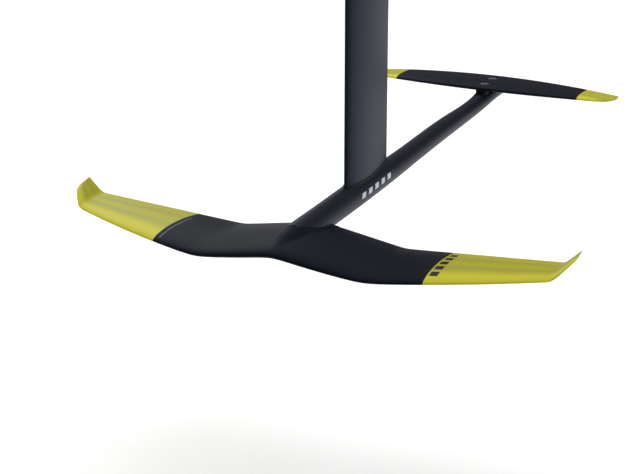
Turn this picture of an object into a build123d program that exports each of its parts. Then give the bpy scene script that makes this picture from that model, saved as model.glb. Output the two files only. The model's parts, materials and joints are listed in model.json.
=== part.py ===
"""A bolted hydrofoil: board plate, mast, fuselage, gull front wing and rear stabiliser.

Millimetres. The origin is the middle of the board plate's upper face, which is bolted to a
board. +Z is up, -Y is the way the foil travels and X is across the wings.
"""

from build123d import *
import math
import os

# ---- board plate -------------------------------------------------------------------------
plate_length = 198.0
plate_width = 120.0
plate_thickness = 10.0
plate_corner = 18.0
plate_edge_chamfer = 1.2
track_spacing = 90.0
bolt_row_spacing = 165.0
slot_width = 8.6
slot_length = 18.0
slot_recess_width = 15.0
slot_recess_depth = 3.0
collar_height = 26.0
collar_wall = 5.0
collar_spread = 9.0
head_sink = 0.4
collar_screw_offset = 4.7
collar_screw_places = (22.0, 82.0)
collar_screw_bite = 12.0

# ---- mast --------------------------------------------------------------------------------
mast_length = 720.0
mast_chord = 120.0
mast_thickness = 15.0
mast_wall = 2.2
mast_fullest = 0.38
mast_tail_power = 1.8
mast_tail_edge = 1.5
web_thickness = 3.0
nose_cell_start = 7.0
nose_web = 24.0
tail_web = 84.0
tail_cell_end = 104.0
mast_bolt_spacing = 30.0
mast_bolt_middle = 49.0
insert_height = 62.0
insert_clearance = 0.1
plug_height = 25.0
seat_clearance = 0.15

# ---- fuselage: distance behind the wing's nose, half width, crown and keel heights ---------
wing_ahead_of_mast = 195.0
fuselage_front = 57.0
fuselage_stations = [
    (fuselage_front, 13.7, 15.2, -15.6),
    (120.0, 13.9, 15.2, -16.3),
    (wing_ahead_of_mast, 13.9, 14.9, -17.0),
    (255.0, 13.8, 14.0, -17.2),
    (320.0, 12.8, 12.1, -17.0),
    (400.0, 11.9, 11.5, -15.6),
    (520.0, 11.3, 11.1, -14.0),
    (640.0, 10.8, 10.9, -12.6),
    (720.0, 10.4, 10.6, -11.6),
]
tail_round = 7.0
scarf_drop = 0.3
scarf_lip = 1.2
step_behind_wing = 0.5
mast_socket_depth = 14.0
keel_sink = 3.2

# ---- nose fairing moulded on the wing: as fuselage_stations --------------------------------
fairing_stations = [
    (1.6, 0.9, 0.5, -1.6),
    (9.0, 4.4, 3.6, -5.4),
    (20.0, 8.0, 7.4, -9.6),
    (33.0, 11.2, 11.8, -12.9),
    (45.0, 13.1, 14.4, -14.8),
]

# ---- front wing --------------------------------------------------------------------------
root_chord = 138.0
trailing_edge_drift = -4.0
sweep = 80.0
sweep_power = 1.6
kink_at = 97.0
bend_start = 271.0
bend_radius = 14.0
winglet_cant = 44.0
nose_line = (-0.6, -0.225, 0.0355, 12.0)
tail_line = (-8.7, -0.1715, 0.072, 5.0)
crown_round = 10.0
root_thickness = 0.12
tip_thickness = 0.09
wing_camber = 0.024
trailing_edge = 0.8
winglet_length = 19.0
winglet_sweep = 19.0
winglet_round = 9.4
winglet_round_power = 8
tip_joint_at = 157.0
tip_joint_lean = 2.0
bond_line = 0.8
skin = 1.6
core_from = 22.0
core_to = 148.0
core_steps = 14
tip_core_from = 166.0
tip_core_to = 255.0
tip_core_steps = 8
core_nose_gap = 7.0
core_tail_gap = 16.0
core_least_half = 0.4
spar_width = 9.0
spar_places = (0.3, 0.58)
spar_from = 26.0
spar_to = 215.0
spar_steps = 21
spar_cover = 0.8
block_width = 20.0
block_floor = 4.5
block_nose = 78.0
block_least_height = 2.0

# ---- rear stabiliser -----------------------------------------------------------------------
stabiliser_span = 340.0
stabiliser_root = 72.0
stabiliser_tip = 30.0
stabiliser_sweep = 34.0
stabiliser_tip_round = 13.0
stabiliser_thickness = 0.125
stabiliser_camber = -0.01
stabiliser_joint_at = 126.0
stabiliser_nose = 640.0
stabiliser_droop = 7.0
stabiliser_height = 15.5
stabiliser_core_from = 0.1
stabiliser_core_to = 0.7
stabiliser_skin = 1.2
tail_seat_height = 6.5
tail_seat_ramp = 14.0
tail_seat_ahead = 4.0
shim_width = 15.0
shim_length = 62.0
shim_thickness = 2.4
shim_taper = 0.8
pad_corner = 6.0
stabiliser_bolt_spacing = 32.0
stabiliser_bolt_middle = 33.0

# ---- longer than any cut needs to be ---------------------------------------------------------
tall = 60.0

# ---- fasteners: radius, head radius, head height, key width ---------------------------------
m8 = (4.0, 7.9, 4.4, 5.0)
m6 = (3.0, 6.0, 3.3, 4.0)
m5 = (2.5, 4.9, 2.8, 3.0)
mast_bolt_length = 36.0
bolt_clearance = 0.25
thread_wall = 0.7
thread_gap = 0.03
thread_length = 9.0
drill_end = 2.0
head_rim = 0.4
key_depth = 0.7
bolt_end_chamfer = 0.8
bolt_end_gap = 0.5
wing_bolt_count = 2
wing_bolt_spacing = 26.0
wing_bolt_middle = 113.0
cup_wall = 1.2
cup_flange = 1.6
cup_gap = 0.2
cup_rim = 1.0
pocket_gap = 0.3
tail_cup_sink = 0.8
foot_seal_height = 1.6
foot_seal_lip = 1.4
foot_seal_reach = 150.0
head_seal_height = 3.0
head_seal_lip = 2.5

# ---- places worked out from the sizes --------------------------------------------------------
mast_nose_y = -mast_chord / 2
wing_nose_y = mast_nose_y - wing_ahead_of_mast
mast_top_z = -plate_thickness
mast_foot_z = mast_top_z - mast_length
fairing_end = root_chord + step_behind_wing
hull_stations = fairing_stations + fuselage_stations
tail_end = fuselage_stations[-1][0]


def between(low, high, share):
    """The value that lies a share of the way from low to high."""
    return low + (high - low) * share


def hull_size(behind):
    """Half width, crown and keel of the fuselage at a distance behind the wing's nose."""
    for first, second in zip(hull_stations, hull_stations[1:]):
        if behind <= second[0]:
            break
    share = (behind - first[0]) / (second[0] - first[0])
    return [between(a, b, share) for a, b in zip(first[1:], second[1:])]


mast_middle = wing_ahead_of_mast + mast_chord / 2
fuselage_z = mast_foot_z + mast_socket_depth - hull_size(mast_middle)[1]
scarf_top = fuselage_stations[0][2] - scarf_lip


def scarf_z(behind):
    """Height of the sloping seat between the wing and the fuselage."""
    return fuselage_z + scarf_top - scarf_drop * (behind - fuselage_front)


def row_y(behind):
    """The y of a place given as a distance behind the wing's nose."""
    return wing_nose_y + behind


def pair(middle, spacing, count=2):
    """Evenly spaced places about a middle."""
    return [middle + (i - (count - 1) / 2) * spacing for i in range(count)]


mast_bolts_at = pair(wing_ahead_of_mast + mast_bolt_middle, mast_bolt_spacing)
wing_bolts_at = pair(wing_bolt_middle, wing_bolt_spacing, wing_bolt_count)
stabiliser_bolts_at = pair(stabiliser_nose + stabiliser_bolt_middle, stabiliser_bolt_spacing)
tail_seat_z = fuselage_z + tail_seat_height
seat_front = stabiliser_nose - tail_seat_ahead
block_tail = fuselage_front + (2 * scarf_top - block_floor - skin - block_least_height) / scarf_drop


# ---- mast section ----------------------------------------------------------------------------
def mast_half(behind, extra=0.0):
    """Half the mast's thickness at a distance behind its nose."""
    fullest = mast_fullest * mast_chord
    half = mast_thickness / 2 + extra
    if behind < fullest:
        return half * math.sqrt(max(0.0, 1 - (1 - behind / fullest) ** 2))
    share = (behind - fullest) / (mast_chord - fullest)
    tail = mast_tail_edge / 2 + extra
    return tail + (half - tail) * (1 - share**mast_tail_power)


def mast_outline(extra=0.0):
    """The mast's outline grown by extra, from one tail corner round the nose to the other."""
    steps = 14
    points = []
    for i in range(-steps, steps + 1):
        behind = mast_chord * (1 - math.cos(abs(i) / steps * math.pi / 2))
        side = -1 if i < 0 else 1
        stretched = -extra + behind * (1 + 2 * extra / mast_chord)
        points.append((side * mast_half(behind, extra), mast_nose_y + stretched))
    return points


def mast_section(z, extra=0.0):
    """A sketch of the mast's solid outline at a height."""
    points = mast_outline(extra)
    with BuildSketch(Plane.XY.offset(z)) as section:
        with BuildLine():
            Spline(*points)
            Line(points[-1], points[0])
        make_face()
    return section.sketch


def cell_section(z, start, end, gap=0.0):
    """A sketch of one hollow cell of the mast, between two distances behind its nose."""
    steps = 6
    places = [between(start + gap, end - gap, i / steps) for i in range(steps + 1)]
    right = [(mast_half(s) - mast_wall - gap, mast_nose_y + s) for s in places]
    left = [(-x, y) for x, y in reversed(right)]
    with BuildSketch(Plane.XY.offset(z)) as section:
        with BuildLine():
            Spline(*right)
            Line(right[-1], left[0])
            Spline(*left)
            Line(left[-1], right[0])
        make_face()
    return section.sketch


# ---- wing section ------------------------------------------------------------------------------
def foil_half(share, thickness, edge):
    """Half thickness of a foil of length one, at a share of its chord."""
    curve = (
        0.2969 * math.sqrt(share)
        - 0.1260 * share
        - 0.3516 * share**2
        + 0.2843 * share**3
        - 0.1036 * share**4
    )
    return 5 * thickness * curve + edge / 2 * share


def foil_outline(chord, thickness, camber, edge=trailing_edge, nose_gap=0.0, tail_gap=0.0, inset=0.0):
    """Outline of a foil, or of a core inset in it, from the upper tail round the nose to the lower."""
    steps = 12
    points = []
    for i in range(-steps, steps + 1):
        place = nose_gap + (chord - nose_gap - tail_gap) * (
            1 - math.cos(abs(i) / steps * math.pi / 2)
        )
        share = place / chord
        half = chord * foil_half(share, thickness, edge / chord) - inset
        if inset:
            nose_fade = min(1.0, (place - nose_gap) / nose_gap)
            half = max(half, core_least_half) * math.sqrt(max(0.0, nose_fade * (2 - nose_fade)))
        mean = 4 * camber * chord * share * (1 - share)
        points.append((place, mean + (half if i < 0 else -half)))
    return points


def gull_height(x, line):
    """Height of one edge line of the wing above the fuselage's axis: down to the kink, then up."""
    root, inner, outer, kink_round = line
    run = math.hypot(x, crown_round) - crown_round
    past = x - kink_at
    rise = (past + math.hypot(past, kink_round)) / 2
    return root + inner * run + (outer - inner) * rise


def wing_station(distance):
    """Place and size of the wing's section at a distance along the span from the middle."""
    arc = math.radians(winglet_cant)
    turn = min(max((distance - bend_start) / bend_radius, 0.0), arc)
    straight = max(distance - bend_start - bend_radius * arc, 0.0)
    x = min(distance, bend_start) + bend_radius * math.sin(turn) + straight * math.cos(arc)
    lift = bend_radius * (1 - math.cos(turn)) + straight * math.sin(arc)
    share = min(distance / bend_start, 1.0)
    to_bend = min(distance, bend_start + bend_radius * arc)
    along = straight / winglet_length
    nose = sweep * (to_bend / bend_start) ** sweep_power
    nose += winglet_sweep * along + winglet_round * along**winglet_round_power
    tail = root_chord + trailing_edge_drift * share
    flat_x = min(x, bend_start)
    nose_z = gull_height(flat_x, nose_line) + lift
    tail_z = gull_height(flat_x, tail_line) + lift
    chord = tail - nose
    tilt = math.atan2(nose_z - tail_z, chord)
    thickness = between(root_thickness, tip_thickness, min(distance / tip_joint_at, 1.0))
    return x, nose, nose_z, chord, tilt, turn, thickness


def wing_plane(side, station):
    """The plane of a wing section: its x runs back along the chord and its y up."""
    x, nose, nose_z, chord, tilt, turn, _ = station
    along = Vector(0, math.cos(tilt), -math.sin(tilt))
    outward = Vector(math.cos(turn), 0, side * math.sin(turn))
    return Plane(
        origin=(side * x, wing_nose_y + nose, fuselage_z + nose_z), x_dir=along, z_dir=outward
    )


def wing_section(side, distance, **gaps):
    """A sketch of the wing's section, or of its core with gaps given."""
    station = wing_station(distance)
    points = foil_outline(station[3], station[6], wing_camber, **gaps)
    with BuildSketch(wing_plane(side, station)) as section:
        with BuildLine():
            Spline(*points)
            Line(points[-1], points[0])
        make_face()
    return section.sketch


def spar_section(side, distance, place):
    """A sketch of one spar's section: as deep as the foil less its cover, above and below."""
    station = wing_station(distance)
    chord = station[3]
    edge = trailing_edge / chord
    corners = []
    for end in (-0.5, 0.5):
        s = place * chord + end * spar_width
        share = s / chord
        half = chord * foil_half(share, station[6], edge) - skin - spar_cover
        mean = 4 * wing_camber * chord * share * (1 - share)
        corners.append((s, mean, half))
    (s0, m0, h0), (s1, m1, h1) = corners
    with BuildSketch(wing_plane(side, station)) as section:
        with BuildLine():
            Polyline((s0, m0 + h0), (s1, m1 + h1), (s1, m1 - h1), (s0, m0 - h0), close=True)
        make_face()
    return section.sketch


bend_arc = bend_radius * math.radians(winglet_cant)
wing_distances = (
    [kink_at * share for share in (0.0, 0.14, 0.35, 0.58, 0.76, 0.89, 1.0, 1.11, 1.26)]
    + [between(kink_at, bend_start, share) for share in (0.25, 0.36, 0.51, 0.68, 0.84)]
    + [bend_start + bend_arc * i / 4 for i in range(-1, 5)]
    + [bend_start + bend_arc + winglet_length * w for w in (0.16, 0.42, 0.68, 0.89, 1.0)]
)


def wing_half(side):
    """One half of the front wing's outer shape, from the middle to its tip."""
    with BuildPart() as half:
        for distance in wing_distances:
            add(wing_section(side, distance))
        loft()
    return half.part


def wing_core(side, start, end, steps):
    """A foam core inset in the wing, from one distance along the span to another."""
    with BuildPart() as core:
        for i in range(steps + 1):
            add(
                wing_section(
                    side, between(start, end, i / steps),
                    nose_gap=core_nose_gap, tail_gap=core_tail_gap, inset=skin,
                )
            )
        loft(ruled=True)
    return core.part


def wing_spar(side, place, start, end, steps):
    """One spar, inside the foam and across the joint with the tip."""
    with BuildPart() as spar:
        for i in range(steps + 1):
            add(spar_section(side, between(start, end, i / steps), place))
        loft(ruled=True)
    return spar.part


def stabiliser_section(side, share, **gaps):
    """A sketch of the stabiliser's section at a share of its half span, or of its core with gaps."""
    near_tip = max(0.0, share - 0.9) / 0.1
    nose = stabiliser_sweep * share**2 + stabiliser_tip_round * near_tip**2
    tail = between(stabiliser_root, stabiliser_sweep + stabiliser_tip, share**2)
    origin = (
        side * share * stabiliser_span / 2,
        row_y(stabiliser_nose + nose),
        fuselage_z + stabiliser_height - stabiliser_droop * share**2,
    )
    points = foil_outline(tail - nose, stabiliser_thickness, stabiliser_camber, **gaps)
    with BuildSketch(Plane(origin=origin, x_dir=(0, 1, 0), z_dir=(1, 0, 0))) as section:
        with BuildLine():
            Spline(*points)
            Line(points[-1], points[0])
        make_face()
    return section.sketch


def stabiliser_half(side, start=0.0, end=1.0, steps=10, **gaps):
    """One half of the stabiliser, or of its core, between two shares of its half span."""
    with BuildPart() as half:
        for i in range(steps + 1):
            turn = math.sin(math.pi / 2 * i / steps)
            add(stabiliser_section(side, between(start, end, turn), **gaps))
        loft()
    return half.part


def stabiliser_top(behind):
    """Height of the stabiliser's upper face on its middle line."""
    share = (behind - stabiliser_nose) / stabiliser_root
    half = stabiliser_root * foil_half(share, stabiliser_thickness, trailing_edge / stabiliser_root)
    mean = 4 * stabiliser_camber * stabiliser_root * share * (1 - share)
    return fuselage_z + stabiliser_height + mean + half


def oval_section(behind, half_width, crown, keel):
    """A sketch of the fuselage's oval section at a distance behind the wing's nose."""
    plane = Plane(
        origin=(0, row_y(behind), fuselage_z + (crown + keel) / 2),
        x_dir=(1, 0, 0),
        z_dir=(0, -1, 0),
    )
    with BuildSketch(plane) as section:
        Ellipse(half_width, (crown - keel) / 2)
    return section.sketch


def hull(stations, grow=0.0):
    """The oval body through the stations, grown all round by an amount."""
    with BuildPart() as body:
        for behind, half_width, crown, keel in stations:
            add(oval_section(behind, half_width + grow, crown + grow, keel - grow))
        loft()
    return body.part


def side_prism(points, width):
    """A solid of the given outline in the side view, centred across X."""
    with BuildPart() as prism:
        with BuildSketch(Plane.YZ):
            with BuildLine():
                Polyline(*points, close=True)
            make_face()
        extrude(amount=width / 2, both=True)
    return prism.part


def tip_joint_plane(side, at, lean, gap=0.0):
    """The plane of the joint between a wing's middle and its tip, facing outwards."""
    across = math.radians(lean)
    return Plane(
        origin=(side * (at + gap), wing_nose_y, fuselage_z),
        x_dir=(0, 0, 1),
        z_dir=(side * math.cos(across), math.sin(across), 0),
    )


# ---- fasteners -----------------------------------------------------------------------------------
def flat_bolt(size, length):
    """A flat-head bolt with a hex socket, its head's face at the origin and its shank along -Z."""
    radius, head_radius, head_height, key = size
    with BuildPart() as bolt:
        with BuildSketch(Plane.XZ):
            with BuildLine():
                Polyline(
                    (0, 0),
                    (head_radius, 0),
                    (head_radius, -head_rim),
                    (radius, -head_height),
                    (radius, -length + bolt_end_chamfer),
                    (radius - bolt_end_chamfer, -length),
                    (0, -length),
                    close=True,
                )
            make_face()
        revolve(axis=Axis.Z)
        with BuildSketch():
            RegularPolygon(key / 2, 6, major_radius=False)
        extrude(amount=-head_height * key_depth, mode=Mode.SUBTRACT)
    return bolt.part


def bolt_hole(size, length, mouth=tall, gap=bolt_clearance):
    """A cutter with the shape of a flat-head bolt and its clearance, opening upwards."""
    radius, head_radius, head_height, _ = size
    with BuildPart() as cutter:
        with BuildSketch(Plane.XZ):
            with BuildLine():
                Polyline(
                    (0, mouth),
                    (head_radius + gap, mouth),
                    (head_radius + gap, -head_rim),
                    (radius + gap, -head_height),
                    (radius + gap, -length),
                    (0, -length),
                    close=True,
                )
            make_face()
        revolve(axis=Axis.Z)
    return cutter.part


def rod(radius, length, bore=0.0):
    """A round bar or tube, its end at the origin and its length along -Z."""
    with BuildPart() as bar:
        with BuildSketch():
            Circle(radius)
            if bore:
                Circle(bore, mode=Mode.SUBTRACT)
        extrude(amount=-length)
    return bar.part


def thread_radius(size):
    """Outside radius of a thread insert."""
    return size[0] + thread_gap + thread_wall


def bolt_cup(size, depth, solid=False):
    """A flanged countersunk cup for a bolt's head, its face at the origin and along -Z."""
    radius, head_radius, head_height, _ = size
    sleeve = radius + bolt_clearance + cup_wall
    with BuildPart() as cup:
        with BuildSketch(Plane.XZ):
            with BuildLine():
                Polyline(
                    (0, 0),
                    (head_radius + cup_flange, 0),
                    (head_radius + cup_flange, -cup_rim),
                    (sleeve, -head_height - cup_rim),
                    (sleeve, -depth),
                    (0, -depth),
                    close=True,
                )
            make_face()
        revolve(axis=Axis.Z)
        if not solid:
            add(bolt_hole(size, depth + 1), mode=Mode.SUBTRACT)
    return cup.part


def save(piece, name):
    """Labels a finished piece and writes its file."""
    piece.part.label = name
    export_step(piece.part, f"parts/{name}.step")


os.makedirs("parts", exist_ok=True)
upright = (0, 0, 0)
flipped = (180, 0, 0)

collar_screws_at = [
    (side * (mast_half(at) + collar_screw_offset), mast_nose_y + at)
    for at in collar_screw_places
    for side in (-1, 1)
]

# ==== board plate ===================================================================================
with BuildPart() as top_plate:
    with BuildSketch():
        RectangleRounded(plate_width, plate_length, plate_corner)
    extrude(amount=-plate_thickness)
    chamfer(top_plate.faces().sort_by(Axis.Z)[0].edges(), plate_edge_chamfer)
    chamfer(top_plate.faces().sort_by(Axis.Z)[-1].edges(), plate_edge_chamfer)
    with BuildSketch():
        with GridLocations(track_spacing, bolt_row_spacing, 2, 2):
            SlotOverall(slot_length, slot_width)
    extrude(amount=-plate_thickness, mode=Mode.SUBTRACT)
    with BuildSketch(Plane.XY.offset(-plate_thickness)):
        with GridLocations(track_spacing, bolt_row_spacing, 2, 2):
            SlotOverall(slot_length + slot_recess_width - slot_width, slot_recess_width)
    extrude(amount=slot_recess_depth, mode=Mode.SUBTRACT)
    with Locations(*[Location((0, row_y(at), -head_sink)) for at in mast_bolts_at]):
        add(bolt_hole(m8, plate_thickness), mode=Mode.SUBTRACT)
    with Locations(*[Location((x, y, -head_sink)) for x, y in collar_screws_at]):
        add(bolt_hole(m5, plate_thickness), mode=Mode.SUBTRACT)
save(top_plate, "top_plate")

with BuildPart() as mast_collar:
    add(mast_section(mast_top_z, collar_spread))
    add(mast_section(mast_top_z - collar_height, collar_wall))
    loft()
    add(extrude(mast_section(mast_top_z, seat_clearance), amount=-collar_height), mode=Mode.SUBTRACT)
    with Locations(*[Location((x, y, mast_top_z)) for x, y in collar_screws_at]):
        add(rod(m5[0] + thread_gap, collar_screw_bite + drill_end), mode=Mode.SUBTRACT)
save(mast_collar, "mast_collar")

with BuildPart() as collar_screws:
    with Locations(*[Location((x, y, -head_sink)) for x, y in collar_screws_at]):
        add(flat_bolt(m5, plate_thickness - head_sink + collar_screw_bite))
save(collar_screws, "collar_screws")

# ==== mast ==========================================================================================
middle_cell = (nose_web + web_thickness / 2, tail_web - web_thickness / 2)
nose_cell = (nose_cell_start, nose_web - web_thickness / 2)
tail_cell = (tail_web + web_thickness / 2, tail_cell_end)

with BuildPart() as mast_extrusion:
    add(extrude(mast_section(mast_top_z), amount=-mast_length))
    for start, end in (nose_cell, middle_cell, tail_cell):
        add(extrude(cell_section(mast_top_z, start, end), amount=-mast_length), mode=Mode.SUBTRACT)
save(mast_extrusion, "mast_extrusion")


def mast_insert(z, bolt_ys, direction):
    """A threaded bar inside the middle cell at one end of the mast."""
    with BuildPart() as insert:
        add(extrude(cell_section(z, *middle_cell, insert_clearance), amount=direction * insert_height))
        turn = upright if direction < 0 else flipped
        with Locations(*[Location((0, y, z), turn) for y in bolt_ys]):
            add(rod(m8[0] + thread_gap, mast_bolt_length), mode=Mode.SUBTRACT)
    return insert


mast_bolt_ys = [row_y(at) for at in mast_bolts_at]
mast_head_insert = mast_insert(mast_top_z, mast_bolt_ys, -1)
save(mast_head_insert, "mast_head_insert")
mast_foot_insert = mast_insert(mast_foot_z, mast_bolt_ys, 1)
save(mast_foot_insert, "mast_foot_insert")

with BuildPart() as mast_cell_plugs:
    for cell in (nose_cell, tail_cell):
        for z, amount in ((mast_top_z, -plug_height), (mast_foot_z, plug_height)):
            add(extrude(cell_section(z, *cell, insert_clearance), amount=amount))
save(mast_cell_plugs, "mast_cell_plugs")

with BuildPart() as mast_head_bolts:
    with Locations(*[Location((0, y, -head_sink)) for y in mast_bolt_ys]):
        add(flat_bolt(m8, mast_bolt_length))
save(mast_head_bolts, "mast_head_bolts")

with BuildPart() as mast_head_seal:
    seal_z = mast_top_z - collar_height
    add(extrude(mast_section(seal_z, head_seal_lip), amount=-head_seal_height))
    add(extrude(mast_section(seal_z), amount=-head_seal_height), mode=Mode.SUBTRACT)
save(mast_head_seal, "mast_head_seal")

# ==== fuselage ======================================================================================
with BuildPart() as hull_body:
    add(hull(hull_stations))
    fillet(hull_body.faces().sort_by(Axis.Y)[-1].edges(), tail_round)
body = hull_body.part
below_scarf = [
    (row_y(-tall), fuselage_z + tall),
    (row_y(fuselage_front), fuselage_z + tall),
    (row_y(fuselage_front), scarf_z(fuselage_front)),
    (row_y(fairing_end), scarf_z(fairing_end)),
    (row_y(fairing_end), fuselage_z - tall),
    (row_y(-tall), fuselage_z - tall),
]
above_tail_seat = [
    (row_y(seat_front - tail_seat_ramp), fuselage_z + tall),
    (row_y(seat_front - tail_seat_ramp), fuselage_z + hull_size(seat_front)[1] + 1),
    (row_y(seat_front), tail_seat_z),
    (row_y(tail_end + 1), tail_seat_z),
    (row_y(tail_end + 1), fuselage_z + tall),
]
wing_thread_mouths = [(at, scarf_z(at - thread_radius(m6)) + thread_gap) for at in wing_bolts_at]
stabiliser_threads_at = [Location((0, row_y(at), tail_seat_z)) for at in stabiliser_bolts_at]
keel_at_mast = fuselage_z + min(hull_size(at)[2] for at in mast_bolts_at)
mast_foot_head_z = keel_at_mast + keel_sink

with BuildPart() as fuselage_blank:
    add(body)
    add(side_prism(below_scarf, 2 * tall), mode=Mode.SUBTRACT)

with BuildPart() as fuselage:
    add(fuselage_blank.part)
    add(side_prism(above_tail_seat, 2 * tall), mode=Mode.SUBTRACT)
    add(extrude(mast_section(mast_foot_z, seat_clearance), amount=tall), mode=Mode.SUBTRACT)
    with Locations(*[Location((0, y, mast_foot_head_z), flipped) for y in mast_bolt_ys]):
        add(bolt_hole(m8, tall), mode=Mode.SUBTRACT)
    for at, mouth in wing_thread_mouths:
        with Locations(Location((0, row_y(at), mouth - drill_end), flipped)):
            add(rod(thread_radius(m6), drill_end + thread_length), mode=Mode.SUBTRACT)
            add(rod(m6[0] + thread_gap, thread_length + 2 * drill_end), mode=Mode.SUBTRACT)
    with Locations(*stabiliser_threads_at):
        add(rod(thread_radius(m5), thread_length), mode=Mode.SUBTRACT)
        add(rod(m5[0] + thread_gap, thread_length + drill_end), mode=Mode.SUBTRACT)
save(fuselage, "fuselage")

with BuildPart() as mast_foot_bolts:
    with Locations(*[Location((0, y, mast_foot_head_z), flipped) for y in mast_bolt_ys]):
        add(flat_bolt(m8, mast_bolt_length))
save(mast_foot_bolts, "mast_foot_bolts")

seal_stations = [s for s in hull_stations if abs(s[0] - mast_middle) < foot_seal_reach]
with BuildPart() as mast_foot_seal:
    add(extrude(mast_section(fuselage_z, foot_seal_lip), amount=tall))
    add(extrude(mast_section(fuselage_z), amount=tall), mode=Mode.SUBTRACT)
    add(hull(seal_stations, foot_seal_height), mode=Mode.INTERSECT)
    add(body, mode=Mode.SUBTRACT)
save(mast_foot_seal, "mast_foot_seal")

with BuildPart() as wing_thread_inserts:
    for at, mouth in wing_thread_mouths:
        with Locations(Location((0, row_y(at), mouth), flipped)):
            add(rod(thread_radius(m6), thread_length, m6[0] + thread_gap))
save(wing_thread_inserts, "wing_thread_inserts")

with BuildPart() as stabiliser_thread_inserts:
    with Locations(*stabiliser_threads_at):
        add(rod(thread_radius(m5), thread_length, m5[0] + thread_gap))
save(stabiliser_thread_inserts, "stabiliser_thread_inserts")

# ==== front wing ====================================================================================
left_joint = tip_joint_plane(-1, tip_joint_at, tip_joint_lean)
right_joint = tip_joint_plane(1, tip_joint_at, tip_joint_lean)
wing_halves = {side: wing_half(side) for side in (-1, 1)}
wing_cores = {side: wing_core(side, core_from, core_to, core_steps) for side in (-1, 1)}
tip_cores = {side: wing_core(side, tip_core_from, tip_core_to, tip_core_steps) for side in (-1, 1)}
wing_spars = {
    (side, place): wing_spar(side, place, spar_from, spar_to, spar_steps)
    for side in (-1, 1)
    for place in spar_places
}
cup_face_z = fuselage_z + min(hull_size(at)[2] for at in wing_bolts_at) + keel_sink
cup_sleeve = m6[0] + bolt_clearance + cup_wall
cup_depths = [scarf_z(at + cup_sleeve) - cup_face_z - cup_gap for at in wing_bolts_at]
cups_at = [Location((0, row_y(at), cup_face_z), flipped) for at in wing_bolts_at]
block_bottom = fuselage_z - scarf_top + block_floor
block_outline = [
    (row_y(block_nose), block_bottom),
    (row_y(block_nose), scarf_z(block_nose) - skin),
    (row_y(block_tail), scarf_z(block_tail) - skin),
    (row_y(block_tail), block_bottom),
]

with BuildPart() as wing_root_block:
    add(side_prism(block_outline, block_width))
    for place, depth in zip(cups_at, cup_depths):
        with Locations(place):
            add(rod(cup_sleeve, tall), mode=Mode.SUBTRACT)
            add(bolt_cup(m6, depth, solid=True), mode=Mode.SUBTRACT)
save(wing_root_block, "wing_root_block")

with BuildPart() as front_wing_shell:
    add(body)
    add(side_prism(below_scarf, 2 * tall), mode=Mode.INTERSECT)
    for side in (-1, 1):
        add(wing_halves[side])
    add(fuselage_blank.part, mode=Mode.SUBTRACT)
    split(bisect_by=left_joint, keep=Keep.BOTTOM)
    split(bisect_by=right_joint, keep=Keep.BOTTOM)
    for side in (-1, 1):
        add(wing_cores[side], mode=Mode.SUBTRACT)
    for spar in wing_spars.values():
        add(spar, mode=Mode.SUBTRACT)
    add(side_prism(block_outline, block_width), mode=Mode.SUBTRACT)
    for place, depth in zip(cups_at, cup_depths):
        with Locations(place):
            add(bolt_cup(m6, depth, solid=True), mode=Mode.SUBTRACT)
            add(rod(m6[0] + bolt_clearance, tall), mode=Mode.SUBTRACT)
        with Locations(Location((0, place.position.Y, cup_face_z))):
            add(rod(m6[1] + cup_flange + pocket_gap, tall), mode=Mode.SUBTRACT)
save(front_wing_shell, "front_wing_shell")

with BuildPart() as front_wing_bolt_cups:
    for place, depth in zip(cups_at, cup_depths):
        with Locations(place):
            add(bolt_cup(m6, depth))
save(front_wing_bolt_cups, "front_wing_bolt_cups")

with BuildPart() as front_wing_bolts:
    for place, (_, mouth) in zip(cups_at, wing_thread_mouths):
        with Locations(place):
            add(flat_bolt(m6, mouth + thread_length - bolt_end_gap - cup_face_z))
save(front_wing_bolts, "front_wing_bolts")

with BuildPart() as front_wing_core:
    for side in (-1, 1):
        add(wing_cores[side])
    for spar in wing_spars.values():
        add(spar, mode=Mode.SUBTRACT)
save(front_wing_core, "front_wing_core")

with BuildPart() as front_wing_spars:
    for spar in wing_spars.values():
        add(spar)
save(front_wing_spars, "front_wing_spars")

for side, hand in ((-1, "left"), (1, "right")):
    bond_plane = tip_joint_plane(side, tip_joint_at, tip_joint_lean)
    tip_plane = tip_joint_plane(side, tip_joint_at, tip_joint_lean, bond_line)
    with BuildPart() as tip:
        add(wing_halves[side])
        split(bisect_by=tip_plane, keep=Keep.TOP)
        add(tip_cores[side], mode=Mode.SUBTRACT)
        for place in spar_places:
            add(wing_spars[side, place], mode=Mode.SUBTRACT)
    save(tip, f"front_wing_{hand}_tip")
    with BuildPart() as bond:
        add(wing_halves[side])
        split(bisect_by=bond_plane, keep=Keep.TOP)
        split(bisect_by=tip_plane, keep=Keep.BOTTOM)
        for place in spar_places:
            add(wing_spars[side, place], mode=Mode.SUBTRACT)
    save(bond, f"front_wing_{hand}_bond")
    with BuildPart() as tip_core:
        add(tip_cores[side])
        for place in spar_places:
            add(wing_spars[side, place], mode=Mode.SUBTRACT)
    save(tip_core, f"front_wing_{hand}_tip_core")

# ==== rear stabiliser ===============================================================================
shim_middle = row_y(stabiliser_nose + shim_length / 2)
shim_front_z = tail_seat_z + shim_thickness
shim_back_z = shim_front_z - shim_taper
shim_outline = [
    (row_y(stabiliser_nose - 1), tail_seat_z),
    (row_y(stabiliser_nose - 1), shim_front_z),
    (row_y(stabiliser_nose + shim_length + 1), shim_back_z),
    (row_y(stabiliser_nose + shim_length + 1), tail_seat_z),
]
stabiliser_cores = [
    stabiliser_half(
        side, stabiliser_core_from, stabiliser_core_to, 5,
        nose_gap=core_nose_gap, tail_gap=core_tail_gap, inset=stabiliser_skin,
    )
    for side in (-1, 1)
]
tail_cup_faces = [stabiliser_top(at) - tail_cup_sink for at in stabiliser_bolts_at]
tail_cups = [
    (Location((0, row_y(at), face)), face - shim_front_z - 0.2)
    for at, face in zip(stabiliser_bolts_at, tail_cup_faces)
]

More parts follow.
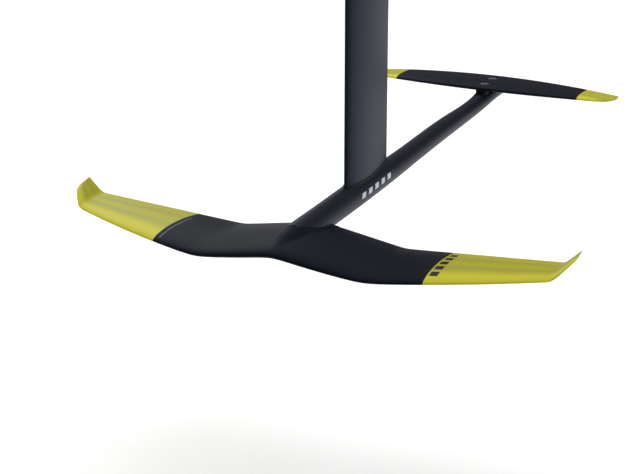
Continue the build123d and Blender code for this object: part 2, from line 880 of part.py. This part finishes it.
with BuildPart() as stabiliser_shim:
    with BuildSketch(Plane.XY.offset(tail_seat_z)):
        with Locations((0, shim_middle)):
            RectangleRounded(shim_width, shim_length, pad_corner)
    extrude(amount=shim_thickness)
    add(side_prism(shim_outline, 2 * shim_width), mode=Mode.INTERSECT)
    with Locations(*stabiliser_threads_at):
        add(rod(m5[0] + bolt_clearance, -2 * shim_thickness), mode=Mode.SUBTRACT)
save(stabiliser_shim, "stabiliser_shim")

with BuildPart() as stabiliser_shell:
    with BuildSketch(Plane.XY.offset(tail_seat_z)):
        with Locations((0, shim_middle)):
            RectangleRounded(shim_width, shim_length, pad_corner)
    extrude(amount=stabiliser_height - tail_seat_height)
    add(side_prism(shim_outline, 2 * shim_width), mode=Mode.SUBTRACT)
    for side in (-1, 1):
        add(stabiliser_half(side))
    for side in (-1, 1):
        split(bisect_by=tip_joint_plane(side, stabiliser_joint_at, 0), keep=Keep.BOTTOM)
    for core in stabiliser_cores:
        add(core, mode=Mode.SUBTRACT)
    for place, depth in tail_cups:
        with Locations(place):
            add(bolt_cup(m5, depth, solid=True), mode=Mode.SUBTRACT)
            add(rod(m5[1] + cup_flange + pocket_gap, -tall), mode=Mode.SUBTRACT)
            add(rod(m5[0] + bolt_clearance, tall), mode=Mode.SUBTRACT)
save(stabiliser_shell, "stabiliser_shell")

with BuildPart() as stabiliser_core:
    for core in stabiliser_cores:
        add(core)
save(stabiliser_core, "stabiliser_core")

for side, hand in ((-1, "left"), (1, "right")):
    with BuildPart() as tip:
        add(stabiliser_half(side))
        split(bisect_by=tip_joint_plane(side, stabiliser_joint_at, 0), keep=Keep.TOP)
    save(tip, f"stabiliser_{hand}_tip")

with BuildPart() as stabiliser_bolt_cups:
    for place, depth in tail_cups:
        with Locations(place):
            add(bolt_cup(m5, depth))
save(stabiliser_bolt_cups, "stabiliser_bolt_cups")

with BuildPart() as stabiliser_bolts:
    for place, _ in tail_cups:
        with Locations(place):
            add(flat_bolt(m5, place.position.Z - tail_seat_z + thread_length - 0.5))
save(stabiliser_bolts, "stabiliser_bolts")
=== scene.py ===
"""Looks for a bolted hydrofoil: its wing rebuilt as smooth skins, and a finish for every piece.

The frame is in metres. The wing's own sizes are in millimetres, as a foil maker would give them.
"""

import json
import math

import bmesh
import bpy
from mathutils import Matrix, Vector


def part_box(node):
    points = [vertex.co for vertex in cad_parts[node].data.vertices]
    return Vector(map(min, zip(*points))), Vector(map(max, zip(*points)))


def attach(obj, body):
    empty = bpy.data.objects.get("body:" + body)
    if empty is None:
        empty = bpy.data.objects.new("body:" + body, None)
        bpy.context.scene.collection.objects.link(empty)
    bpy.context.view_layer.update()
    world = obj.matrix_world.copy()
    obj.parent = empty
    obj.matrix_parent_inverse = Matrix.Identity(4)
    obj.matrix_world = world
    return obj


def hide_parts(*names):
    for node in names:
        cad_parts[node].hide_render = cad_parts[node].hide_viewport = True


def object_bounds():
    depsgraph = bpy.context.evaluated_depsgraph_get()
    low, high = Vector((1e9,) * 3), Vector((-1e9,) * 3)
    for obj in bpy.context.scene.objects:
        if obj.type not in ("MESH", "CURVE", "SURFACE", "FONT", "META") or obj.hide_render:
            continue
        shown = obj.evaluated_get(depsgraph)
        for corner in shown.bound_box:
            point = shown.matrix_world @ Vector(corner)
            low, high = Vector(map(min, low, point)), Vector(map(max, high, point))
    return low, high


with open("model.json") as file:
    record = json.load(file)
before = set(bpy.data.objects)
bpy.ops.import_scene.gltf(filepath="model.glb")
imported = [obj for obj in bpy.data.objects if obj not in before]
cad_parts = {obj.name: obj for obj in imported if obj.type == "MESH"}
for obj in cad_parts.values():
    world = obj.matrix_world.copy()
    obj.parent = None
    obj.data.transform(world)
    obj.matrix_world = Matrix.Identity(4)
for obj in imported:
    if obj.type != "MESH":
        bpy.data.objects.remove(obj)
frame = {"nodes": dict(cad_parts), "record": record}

cad_low, cad_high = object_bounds()
nodes = frame["nodes"]
scene = bpy.context.scene
scene.view_settings.view_transform = "Standard"

MM = 0.001

# ---- where the foil's own origin lies: the wing's nose, on the fuselage's axis ----------------
mast_socket_depth = 14.0
crown_at_mast = 14.0
axis_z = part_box("mast_extrusion")[0].z + (mast_socket_depth - crown_at_mast) * MM
nose_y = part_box("front_wing_shell")[0].y

# ---- front wing ----------------------------------------------------------------------------
root_chord = 138.0
trailing_edge_drift = -4.0
sweep = 80.0
sweep_power = 1.6
kink_at = 97.0
bend_start = 271.0
bend_radius = 14.0
winglet_cant = math.radians(44.0)
winglet_length = 19.0
winglet_sweep = 19.0
winglet_round = 9.4
winglet_round_power = 8
nose_line = (-0.6, -0.225, 0.0355, 12.0)
tail_line = (-8.7, -0.1715, 0.072, 5.0)
crown_round = 10.0
root_thickness = 0.12
tip_thickness = 0.09
camber = 0.024
trailing_edge = 0.8
tip_joint_at = 157.0
tip_joint_lean = math.tan(math.radians(2.0))
bond_line = 0.8
bond_recess = 0.06
wing_end = bend_start + bend_radius * winglet_cant + winglet_length

# ---- fairing and fuselage: distance behind the nose, half width, crown, keel -------------------
hull_stations = [
    (0.0, 0.4, 0.3, -1.0),
    (1.6, 0.9, 0.5, -1.6),
    (9.0, 4.4, 3.6, -5.4),
    (20.0, 8.0, 7.4, -9.6),
    (33.0, 11.2, 11.8, -12.9),
    (45.0, 13.1, 14.4, -14.8),
    (57.0, 13.7, 15.2, -15.6),
    (120.0, 13.9, 15.2, -16.3),
    (195.0, 13.9, 14.9, -17.0),
]
fuselage_front = 57.0
scarf_top = 14.0
scarf_drop = 0.3
seat_gap = 0.05
blend = 3.0
blend_from_nose = 18.0
pocket_radius = 7.9
pocket_depth = 20.0
pocket_corners = 48
cup_flange_radius = 7.6

# ---- how close the rings of the skins lie, from the middle outward -------------------------------
fairing_step, fairing_rings = 0.5, 41
spread_from, spread_step, spread_rings = 20, 1.2, 10
span_from, span_rings = 32, 40
tip_rows = 70
cap_rows = 6
bond_rows = 2
# The winglet's rounded end, as shares of the tip's length and of its thickness.
cap_from, cap_length, cap_thinnest = 0.994, 0.006, 0.05
weld_distance = 1e-6

# ---- marks: plain rows of bars; millimetres, or shares of the chord ------------------------------
bar_from, bar_pitch, bar_count, bar_duty = 213.0, 19.0, 5, 0.52
bar_low, bar_high, bar_lean = -2.4, 3.4, 0.35
dash_from, dash_pitch, dash_count, dash_duty = 0.06, 0.011, 62, 0.7
dash_low, dash_high = -6.4, -4.4
tip_bar_from, tip_bar_pitch, tip_bar_count, tip_bar_duty = 0.12, 0.16, 5, 0.62
tip_bar_low, tip_bar_high = 3.0, 11.0
row_edge, bar_edge, height_edge = 0.01, 0.04, 0.05

# ---- tones of the yellow lacquer, and its painted nose highlight: low and high share of the chord, and how softly they end ---
painted_nose_highlight = (-0.2, 0.2, 0.12)
spar_streaks = ((0.40, 0.43, 0.07), (0.72, 0.75, 0.08))
streak_wander_mm, streak_wander = 30.0, 0.10

# ---- what several finishes share -----------------------------------------------------------------
bump_strength = 0.3
roughness_spread = 0.08
die_stretch = 0.015


def between(low, high, share):
    """The value that lies a share of the way from low to high."""
    return low + (high - low) * share


def smooth_max(a, b, reach):
    """The larger of two heights, rounded where they come within reach of each other."""
    near = max(reach - abs(a - b), 0.0) / reach
    return max(a, b) + near * near * reach / 4


def hull_size(behind):
    """Half width, crown and keel of the hull, on a smooth curve through its stations."""
    last = len(hull_stations) - 2
    i = next((i for i in range(last) if behind <= hull_stations[i + 1][0]), last)
    before, first, second, after = (
        hull_stations[min(max(j, 0), last + 1)] for j in range(i - 1, i + 3)
    )
    run = second[0] - first[0]
    t = (behind - first[0]) / run
    sizes = []
    for p0, p1, p2, p3 in zip(before[1:], first[1:], second[1:], after[1:]):
        slope_in = (p2 - p0) / (second[0] - before[0]) * run
        slope_out = (p3 - p1) / (after[0] - first[0]) * run
        curve = 2 * t**3 - 3 * t**2
        sizes.append(
            p1 + (p1 - p2) * curve
            + slope_in * (t**3 - 2 * t**2 + t)
            + slope_out * (t**3 - t**2)
        )
    return sizes


def gull_height(x, line):
    """Height of one edge line of the wing: down to the kink, then up."""
    root, inner, outer, kink_round = line
    run = math.hypot(x, crown_round) - crown_round
    past = x - kink_at
    rise = (past + math.hypot(past, kink_round)) / 2
    return root + inner * run + (outer - inner) * rise


def foil_half(share, thickness, edge):
    """Half thickness of a foil of length one, at a share of its chord."""
    curve = (
        0.2969 * math.sqrt(share)
        - 0.1260 * share
        - 0.3516 * share**2
        + 0.2843 * share**3
        - 0.1036 * share**4
    )
    return 5 * thickness * curve + edge / 2 * share


def wing_point(distance, share, top, thin=1.0):
    """A point of the wing's right half, in millimetres from the foil's own origin."""
    turn = min(max((distance - bend_start) / bend_radius, 0.0), winglet_cant)
    past_bend = max(distance - bend_start - bend_radius * winglet_cant, 0.0)
    x = min(distance, bend_start) + bend_radius * math.sin(turn)
    x += past_bend * math.cos(winglet_cant)
    lift = bend_radius * (1 - math.cos(turn)) + past_bend * math.sin(winglet_cant)
    to_bend = min(distance, bend_start + bend_radius * winglet_cant)
    nose = sweep * (to_bend / bend_start) ** sweep_power
    along = past_bend / winglet_length
    nose += winglet_sweep * along + winglet_round * along**winglet_round_power
    tail = root_chord + trailing_edge_drift * min(distance / bend_start, 1.0)
    flat = min(x, bend_start)
    nose_z = gull_height(flat, nose_line) + lift
    tail_z = gull_height(flat, tail_line) + lift
    chord = tail - nose
    tilt = math.atan2(nose_z - tail_z, chord)
    thickness = between(root_thickness, tip_thickness, min(distance / tip_joint_at, 1.0))
    half = chord * foil_half(share, thickness, trailing_edge / chord) * thin
    height = 4 * camber * chord * share * (1 - share) + (half if top else -half)
    place = share * chord
    up = (-math.sin(turn) * math.cos(tilt), math.cos(turn) * math.sin(tilt),
          math.cos(turn) * math.cos(tilt))
    return (
        x + height * up[0],
        nose + place * math.cos(tilt) + height * up[1],
        nose_z - place * math.sin(tilt) + height * up[2],
    )


def with_fairing(point, top):
    """Raises a point of the wing's middle onto the nose fairing, with a soft fillet between."""
    x, behind, z = point
    half_width, crown, keel = hull_size(behind)
    if abs(x) > half_width + 2 * blend:
        return point
    middle = (crown + keel) / 2
    side = 1 - (x / half_width) ** 2
    oval = (crown - keel) / 2 * (math.sqrt(side) if side > 0 else side)
    reach = blend * min(1.0, max(behind, 0.1) / blend_from_nose)
    if not top:
        return x, behind, -smooth_max(-z, oval - middle, reach)
    if behind <= fuselage_front:
        return x, behind, smooth_max(z, middle + oval, reach)
    seat = scarf_top - scarf_drop * (behind - fuselage_front)
    z = smooth_max(z, min(middle + oval, seat), reach)
    if side > 0 and middle + oval > seat:
        z = min(z, max(seat, middle - oval) - seat_gap)
    return x, behind, z


chord_steps = 48
chord_shares = [1 - math.cos(i / chord_steps * math.pi / 2) for i in range(chord_steps + 1)]
ring_shares = [(s, True) for s in reversed(chord_shares)] + [(s, False) for s in chord_shares[1:]]


def joint_distance(share):
    """Distance along the span at which the leaning tip joint crosses a share of the chord."""
    _, behind, _ = wing_point(tip_joint_at, share, True)
    return tip_joint_at - tip_joint_lean * behind


def placed(side, point):
    """A millimetre point of the right half, put on its side of the frame in metres."""
    x, behind, z = point
    return Vector((side * x * MM, nose_y + behind * MM, axis_z + z * MM))


def ring(side, start_of, end_of, t, thin=1.0, grow=0.0, fairing=False):
    """One closed section: points from the upper tail round the nose to the lower tail."""
    points, uvs = [], []
    for share, top in ring_shares:
        distance = between(start_of(share), end_of(share), t)
        point = wing_point(distance, share, top, thin)
        if grow:
            point = (point[0], point[1], point[2] + (grow if top else -grow))
        if fairing:
            point = with_fairing(point, top)
        points.append(placed(side, point))
        uvs.append(((distance - joint_distance(share)) * MM, share if top else -share))
    return points, uvs


sharp_angle = math.radians(32.0)


def skin_mesh(name, rings):
    """A closed skin through a list of rings, with its span and chord kept as a UV map."""
    mesh = bmesh.new()
    layer = mesh.loops.layers.uv.new("span_chord")
    rows = [[mesh.verts.new(p) for p in points] for points, _ in rings]
    count = len(rows[0])

    def face(corners):
        verts = [rows[i][j] for i, j in corners]
        if len(set(verts)) < 3:
            return
        made = mesh.faces.new(verts)
        made.smooth = True
        for loop, (i, j) in zip(made.loops, corners):
            loop[layer].uv = rings[i][1][j]

    for i in range(len(rows) - 1):
        for j in range(count):
            k = (j + 1) % count
            face([(i, j), (i, k), (i + 1, k), (i + 1, j)])
    middle = count // 2
    for i in (0, len(rows) - 1):
        for j in range(middle - 1):
            face([(i, j), (i, j + 1), (i, count - 2 - j), (i, count - 1 - j)])
        face([(i, middle - 1), (i, middle), (i, middle + 1)])
    bmesh.ops.remove_doubles(mesh, verts=mesh.verts, dist=weld_distance)
    bmesh.ops.recalc_face_normals(mesh, faces=mesh.faces)
    return placed_mesh(name, mesh)


def placed_mesh(name, mesh):
    """Turns a bmesh into an object of the scene, with its sharp edges kept sharp."""
    for edge in mesh.edges:
        if len(edge.link_faces) == 2 and edge.calc_face_angle(0) > sharp_angle:
            edge.smooth = False
    data = bpy.data.meshes.new(name)
    mesh.to_mesh(data)
    mesh.free()
    piece = bpy.data.objects.new(name, data)
    scene.collection.objects.link(piece)
    return piece


def cut_pocket(piece, x, y, top_z, radius, depth):
    """Bores a round pocket up into a piece from below, as far as top_z."""
    mesh = bmesh.new()
    rims = [
        [mesh.verts.new((x + radius * math.cos(t), y + radius * math.sin(t), z))
         for t in (2 * math.pi * i / pocket_corners for i in range(pocket_corners))]
        for z in (top_z, top_z - depth)
    ]
    mesh.faces.new(rims[0])
    mesh.faces.new(list(reversed(rims[1])))
    for i in range(pocket_corners):
        k = (i + 1) % pocket_corners
        mesh.faces.new((rims[0][i], rims[1][i], rims[1][k], rims[0][k])).smooth = True
    bmesh.ops.recalc_face_normals(mesh, faces=mesh.faces)
    cutter = placed_mesh("pocket_cutter", mesh)
    cut = piece.modifiers.new("bolt_pocket", "BOOLEAN")
    cut.operation, cut.solver, cut.object = "DIFFERENCE", "EXACT", cutter
    whole = piece.evaluated_get(bpy.context.evaluated_depsgraph_get())
    result = bpy.data.meshes.new_from_object(whole)
    piece.modifiers.remove(cut)
    piece.data = result
    bpy.data.objects.remove(cutter)


# ---- materials -----------------------------------------------------------------------------------
def linear(code):
    """An sRGB hex colour as linear RGBA."""
    values = [int(code[i:i + 2], 16) / 255 for i in (1, 3, 5)]
    return [v / 12.92 if v <= 0.04045 else ((v + 0.055) / 1.055) ** 2.4 for v in values] + [1.0]


def add_node(tree, kind, inputs=None, **settings):
    """Adds a node: settings are its own properties, and inputs are numbers, colours or outputs."""
    node = tree.nodes.new(kind)
    for name, value in settings.items():
        setattr(node, name, value)
    for socket, value in (inputs or {}).items():
        if isinstance(value, bpy.types.NodeSocket):
            tree.links.new(value, node.inputs[socket])
        else:
            node.inputs[socket].default_value = value
    return node


def grain(tree, feature_mm, stretch=(1, 1, 1), detail=3.0):
    """A pattern whose features are about feature_mm across, drawn out along the axes."""
    place = add_node(tree, "ShaderNodeTexCoord").outputs["Object"]
    drawn = add_node(tree, "ShaderNodeMapping", {"Vector": place, "Scale": stretch})
    inputs = {"Vector": drawn.outputs[0], "Scale": 1 / (feature_mm * MM), "Detail": detail}
    return add_node(tree, "ShaderNodeTexNoise", inputs).outputs["Fac"]


def band(tree, value, low, high, soft):
    """One where the value lies between low and high, falling to nothing over a soft edge."""
    rise = add_node(tree, "ShaderNodeMapRange",
                    {"Value": value, "From Min": low - soft, "From Max": low})
    fall = add_node(tree, "ShaderNodeMapRange",
                    {"Value": value, "From Min": high + soft, "From Max": high})
    both = add_node(tree, "ShaderNodeMath", {0: rise.outputs[0], 1: fall.outputs[0]},
                    operation="MULTIPLY")
    return both.outputs[0]


def row_of_bars(tree, along, across, start, pitch, count, duty, low, high):
    """A plain row of slim bars, along one measure and between two limits of the other."""
    offset = add_node(tree, "ShaderNodeMath", {0: along, 1: start}, operation="SUBTRACT")
    steps = add_node(tree, "ShaderNodeMath", {0: offset.outputs[0], 1: pitch}, operation="DIVIDE")
    turn = add_node(tree, "ShaderNodeMath", {0: steps.outputs[0]}, operation="FRACT")
    row = band(tree, steps.outputs[0], 0.0, count, row_edge)
    bar = band(tree, turn.outputs[0], 0.0, duty, bar_edge)
    height = band(tree, across, low, high, (high - low) * height_edge)
    bars = add_node(tree, "ShaderNodeMath", {0: row, 1: bar}, operation="MULTIPLY")
    return add_node(tree, "ShaderNodeMath", {0: bars.outputs[0], 1: height},
                    operation="MULTIPLY").outputs[0]


def new_material(name, base, roughness, pattern_of, depth_mm, **shader_values):
    """A material from two tones, a roughness range and a bump, all led by one pattern."""
    material = bpy.data.materials.new(name)
    material.use_nodes = True
    tree = material.node_tree
    tree.nodes.clear()
    pattern = pattern_of(tree)
    tone = add_node(tree, "ShaderNodeMix",
                    {0: pattern, 6: linear(base[0]), 7: linear(base[1])}, data_type="RGBA")
    worn = add_node(tree, "ShaderNodeMapRange",
                    {"Value": pattern, "To Min": roughness[0], "To Max": roughness[1]})
    bump = add_node(tree, "ShaderNodeBump",
                    {"Height": pattern, "Distance": depth_mm * MM, "Strength": bump_strength})
    inputs = {"Base Color": tone.outputs[2], "Roughness": worn.outputs[0],
              "Normal": bump.outputs[0]}
    inputs.update({key.replace("_", " "): value for key, value in shader_values.items()})
    shader = add_node(tree, "ShaderNodeBsdfPrincipled", inputs)
    add_node(tree, "ShaderNodeOutputMaterial", {"Surface": shader.outputs["BSDF"]})
    return material, tree, shader


def overlay(tree, shader, mask, strength, code):
    """Lays a colour over the shader's own colour, where a mask is and as strongly as asked."""
    share = add_node(tree, "ShaderNodeMath", {0: mask, 1: strength}, operation="MULTIPLY")
    under = shader.inputs["Base Color"].links[0].from_socket
    mixed = add_node(tree, "ShaderNodeMix", {0: share.outputs[0], 6: under, 7: linear(code)},
                     data_type="RGBA")
    tree.links.new(mixed.outputs[2], shader.inputs["Base Color"])


def hard_anodised_aluminium(name, colours, die_axis, die_mm=0.5):
    """Hard anodised aluminium, extruded then dyed: a satin slate film with faint die lines.

    Real die lines lie about 0.1 mm apart: they are drawn coarser, so that they show at all.
    """
    drawn = [die_stretch if axis == die_axis else 1.0 for axis in "xyz"]
    return new_material(name, colours, (0.36, 0.5), lambda tree: grain(tree, die_mm, drawn, 2.0),
                        0.02, Metallic=0.1, Specular_IOR_Level=0.16,
                        Specular_Tint=linear("#b9c6ff"))


def fuselage_finish():
    """Hard anodised bar, with a short row of pale laser-marked bars on each flank."""
    material, tree, shader = hard_anodised_aluminium(
        "hard_anodised_bar", ("#0a0c12", "#0f121a"), "y")
    place = add_node(tree, "ShaderNodeTexCoord").outputs["Object"]
    parts = add_node(tree, "ShaderNodeSeparateXYZ", {0: place})
    height = add_node(tree, "ShaderNodeMath", {0: parts.outputs[2], 1: axis_z},
                      operation="SUBTRACT").outputs[0]
    lean = add_node(tree, "ShaderNodeMath", {0: height, 1: bar_lean},
                    operation="MULTIPLY").outputs[0]
    along = add_node(tree, "ShaderNodeMath", {0: parts.outputs[1], 1: lean},
                     operation="SUBTRACT").outputs[0]
    bars = row_of_bars(tree, along, height, nose_y + bar_from * MM, bar_pitch * MM,
                       bar_count, bar_duty, bar_low * MM, bar_high * MM)
    overlay(tree, shader, bars, 1.0, "#c4c8d0")
    return material


def black_laminate():
    """Fibre laminate sprayed satin blue-black: faint orange peel, drawn out along the fibres.

    A fine row of grey dashes runs beside the left tip joint.
    """
    material, tree, shader = new_material(
        "satin_black_laminate", ("#0b0d14", "#10131b"), (0.42, 0.54),
        lambda tree: grain(tree, 2.2, (0.4, 1, 1)), 0.03,
        Specular_IOR_Level=0.05, Specular_Tint=linear("#b9c6ff"))
    uv = add_node(tree, "ShaderNodeUVMap", uv_map="span_chord").outputs[0]
    split = add_node(tree, "ShaderNodeSeparateXYZ", {0: uv})
    place = add_node(tree, "ShaderNodeTexCoord").outputs["Object"]
    x = add_node(tree, "ShaderNodeSeparateXYZ", {0: place}).outputs[0]
    left = add_node(tree, "ShaderNodeMath", {0: x, 1: 0.0}, operation="LESS_THAN").outputs[0]
    dashes = row_of_bars(tree, split.outputs[1], split.outputs[0], dash_from, dash_pitch,
                         dash_count, dash_duty, dash_low * MM, dash_high * MM)
    mask = add_node(tree, "ShaderNodeMath", {0: dashes, 1: left}, operation="MULTIPLY").outputs[0]
    overlay(tree, shader, mask, 0.6, "#7b808a")
    return material


def yellow_laminate(name, marked=False, box=None):
    """Fluorescent yellow lacquer over fibre laminate: the spars show through as greyer streaks, and
    the nose carries a painted highlight in brighter yellow.

    Single fibres are too fine to show: the print is drawn coarser, about as wide as a thin tow.
    """
    material, tree, shader = new_material(
        name, ("#a09c0c", "#aca812"), (0.34, 0.46),
        lambda tree: grain(tree, 1.2, (0.08, 1, 1), 2.0), 0.02, Specular_IOR_Level=0.16)
    overlay(tree, shader, grain(tree, 4.0, (0.5, 1, 1)), 0.35, "#8f8b26")
    if box:
        place = add_node(tree, "ShaderNodeTexCoord").outputs["Object"]
        y = add_node(tree, "ShaderNodeSeparateXYZ", {0: place}).outputs[1]
        chord = add_node(tree, "ShaderNodeMapRange",
                         {"Value": y, "From Min": box[0].y, "From Max": box[1].y}).outputs[0]
    else:
        uv = add_node(tree, "ShaderNodeUVMap", uv_map="span_chord").outputs[0]
        split = add_node(tree, "ShaderNodeSeparateXYZ", {0: uv})
        span, signed = split.outputs[0], split.outputs[1]
        chord = add_node(tree, "ShaderNodeMath", {0: signed}, operation="ABSOLUTE").outputs[0]
    wander = add_node(tree, "ShaderNodeMath",
                      {0: grain(tree, streak_wander_mm, (0.35, 1, 1)), 1: streak_wander, 2: chord},
                      operation="MULTIPLY_ADD").outputs[0]
    # Painted highlight: a brighter yellow band along the nose, standing in for light falling on it.
    overlay(tree, shader, band(tree, wander, *painted_nose_highlight), 0.6, "#c8c20c")
    for streak in spar_streaks:
        overlay(tree, shader, band(tree, wander, *streak), 0.45, "#84844a")
    if marked:
        bars = row_of_bars(tree, signed, span, tip_bar_from, tip_bar_pitch, tip_bar_count,
                           tip_bar_duty, tip_bar_low * MM, tip_bar_high * MM)
        overlay(tree, shader, bars, 1.0, "#0b0b0d")
    return material


def turned_stainless():
    """Stainless steel, passivated: bright heads with a fine grain, and shanks faintly streaked.

    The grain is drawn coarser than real, so that it shows.
    """
    return new_material("turned_stainless_steel", ("#8e9094", "#a8aaae"), (0.22, 0.36),
                        lambda tree: grain(tree, 0.4, (1, 1, 0.1), 2.0), 0.01, Metallic=1.0)[0]


def matt_finish(name, low, high, feature_mm, roughness, depth_mm):
    """A matt moulded, cut or sanded surface: two close tones in a fine even grain."""
    return new_material(name, (low, high),
                        (roughness - roughness_spread, roughness + roughness_spread),
                        lambda tree: grain(tree, feature_mm, detail=4.0), depth_mm,
                        Specular_IOR_Level=0.3)[0]


# ---- camera --------------------------------------------------------------------------------------
azimuth, elevation = math.radians(24.315), math.radians(20.005)
eye_from_nose = Vector((0.80855, -1.67313, 0.69712))
camera = bpy.data.objects.new("camera", bpy.data.cameras.new("camera"))
camera.data.lens = 109.44
camera.data.sensor_width = 36.0
camera.data.clip_start, camera.data.clip_end = 0.05, 60.0
camera.location = Vector((0, nose_y, axis_z)) + eye_from_nose
camera.rotation_euler = (math.pi / 2 - elevation, 0, azimuth)
scene.collection.objects.link(camera)
scene.camera = camera

# ---- front wing's skins --------------------------------------------------------------------------
middle_steps = [i * fairing_step for i in range(fairing_rings)]
middle_steps += [spread_from + i * spread_step for i in range(1, spread_rings + 1)]
middle_steps += [span_from + (tip_joint_at - span_from) * i / span_rings
                 for i in range(1, span_rings + 1)]
shares_of_middle = [t / tip_joint_at for t in middle_steps]


def at_centre(share):
    """The wing's middle, at every share of the chord."""
    return 0.0


def at_bond(share):
    """The outer face of the bond line."""
    return joint_distance(share) + bond_line


def at_end(share):
    """The winglet's end, at every share of the chord."""
    return wing_end


left_rings = [ring(-1, at_centre, joint_distance, t, fairing=True)
              for t in reversed(shares_of_middle[1:])]
right_rings = [ring(1, at_centre, joint_distance, t, fairing=True) for t in shares_of_middle]
middle_skin = skin_mesh("front_wing_skin", left_rings + right_rings)

cups_low, cups_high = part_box("front_wing_bolt_cups")
for y in (cups_low.y + cup_flange_radius * MM, cups_high.y - cup_flange_radius * MM):
    cut_pocket(middle_skin, 0.0, y, cups_low.z, pocket_radius * MM, pocket_depth * MM)
satin_black = black_laminate()
middle_skin.data.materials.append(satin_black)
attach(middle_skin, "root")
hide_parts("front_wing_shell")

tip_yellow = {"left": yellow_laminate("yellow_laminate"),
              "right": yellow_laminate("marked_yellow_laminate", marked=True)}
# Near-black sanded resin: a dull line round each tip joint. Its grain is drawn coarser than real.
bond_black = matt_finish("sanded_bond_resin", "#050608", "#0b0c0f", 0.6, 0.5, 0.02)
for side, hand in ((-1, "left"), (1, "right")):
    bond_rings = [ring(side, joint_distance, at_bond, i / bond_rows, grow=-bond_recess)
                  for i in range(bond_rows + 1)]
    bond = skin_mesh(f"{hand}_bond_line", bond_rings)
    bond.data.materials.append(bond_black)
    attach(bond, "root")
    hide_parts(f"front_wing_{hand}_bond")
    tip_rings = [ring(side, at_bond, at_end, i / tip_rows * cap_from)
                 for i in range(tip_rows + 1)]
    for i in range(1, cap_rows + 1):
        turn = math.pi / 2 * i / cap_rows
        t = cap_from + cap_length * math.sin(turn)
        thin = max(math.cos(turn), cap_thinnest)
        tip_rings.append(ring(side, at_bond, at_end, t, thin=thin))
    tip = skin_mesh(f"{hand}_tip_skin", tip_rings)
    tip.data.materials.append(tip_yellow[hand])
    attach(tip, "root")
    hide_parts(f"front_wing_{hand}_tip")

# ---- finishes of the pieces that keep their shape ------------------------------------------------
mast_slate = hard_anodised_aluminium("hard_anodised_mast", ("#11151f", "#171c29"), "z")[0]
plate_slate = hard_anodised_aluminium("hard_anodised_plate", ("#14171e", "#1b1f27"), "y", 0.8)[0]
bar_slate = fuselage_finish()
tail_yellow = yellow_laminate("stabiliser_yellow_laminate", box=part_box("stabiliser_left_tip"))
steel = turned_stainless()
# Black moulded rubber: dull and soft, without a highlight. Its grain is drawn coarser than real.
rubber = matt_finish("moulded_rubber", "#060608", "#0b0b0e", 0.5, 0.75, 0.03)
# Cut rigid foam: pale straw and chalky, its cut cells drawn a little coarser than real.
foam = matt_finish("cut_foam", "#d8cb9c", "#e6dab0", 1.2, 0.85, 0.2)
# Pultruded carbon: graphite grey with a low sheen, its mottle drawn coarser than real fibres.
carbon = matt_finish("pultruded_carbon", "#101113", "#1a1b1e", 0.8, 0.45, 0.02)
# Glass-filled nylon: charcoal and dry, with a fibre bloom that is drawn coarser than real.
nylon = matt_finish("glass_filled_nylon", "#141517", "#1d1e21", 0.7, 0.6, 0.03)
finishes = {
    "anodised_aluminium": plate_slate,
    "black_laminate": satin_black,
    "yellow_laminate": tail_yellow,
    "bond_resin": bond_black,
    "carbon_spar": carbon,
    "stainless_steel": steel,
    "seal_rubber": rubber,
    "foam_core": foam,
    "shim_plastic": nylon,
}
own_finishes = {"mast_extrusion": mast_slate, "fuselage": bar_slate}
for part in frame["record"]["subparts"]:
    node = nodes[part["node"]]
    finish = own_finishes.get(part["node"], finishes[part["material_slot"]])
    for slot in node.material_slots:
        slot.link = "OBJECT"
        slot.material = finish

# ---- floor and light -----------------------------------------------------------------------------
floor_drop = 0.30
floor_half = 14.0
floor_z = cad_low.z - floor_drop
floor_mesh = bmesh.new()
floor_mesh.faces.new([
    floor_mesh.verts.new((x * floor_half, y * floor_half, floor_z))
    for x, y in ((-1, -1), (1, -1), (1, 1), (-1, 1))
])
floor_data = bpy.data.meshes.new("studio_floor")
floor_mesh.to_mesh(floor_data)
floor_mesh.free()
floor = bpy.data.objects.new("studio_floor", floor_data)
# Matt white floor without a sheen: the object's shadow on it stays faint and soft.
floor.data.materials.append(matt_finish("matt_white_floor", "#fbfbfb", "#fdfdfd", 40.0, 0.9, 0.1))
scene.collection.objects.link(floor)

# The world is white where it is seen, and lights the object far more weakly than that.
lit_strength, seen_strength = 0.2, 1.0
world = bpy.data.worlds.new("studio")
world.use_nodes = True
sky = world.node_tree
sky.nodes.clear()
seen = add_node(sky, "ShaderNodeLightPath").outputs["Is Camera Ray"]
strength = add_node(sky, "ShaderNodeMapRange",
                    {"Value": seen, "To Min": lit_strength, "To Max": seen_strength})
shine = add_node(sky, "ShaderNodeBackground",
                 {"Color": (1, 1, 1, 1), "Strength": strength.outputs[0]})
add_node(sky, "ShaderNodeOutputWorld", {"Surface": shine.outputs[0]})
scene.world = world


def softbox(name, place, aim, size, power):
    """A large square studio light that looks at a point."""
    light = bpy.data.lights.new(name, "AREA")
    light.shape = "SQUARE"
    light.size = size
    light.energy = power
    lamp = bpy.data.objects.new(name, light)
    lamp.location = place
    lamp.visible_camera = False
    lamp.rotation_euler = (Vector(aim) - Vector(place)).to_track_quat("-Z", "Y").to_euler()
    scene.collection.objects.link(lamp)


wing_nose = (0, nose_y, axis_z)
softbox("overhead_light", place=(-0.8, 1.0, 2.4), aim=(-0.8, 1.0, 0.0), size=6.0, power=215)
softbox("left_light", place=(-1.6, 1.6, 0.4), aim=wing_nose, size=1.4, power=9)
softbox("right_light", place=(1.5, 1.0, -0.1), aim=wing_nose, size=0.7, power=7)
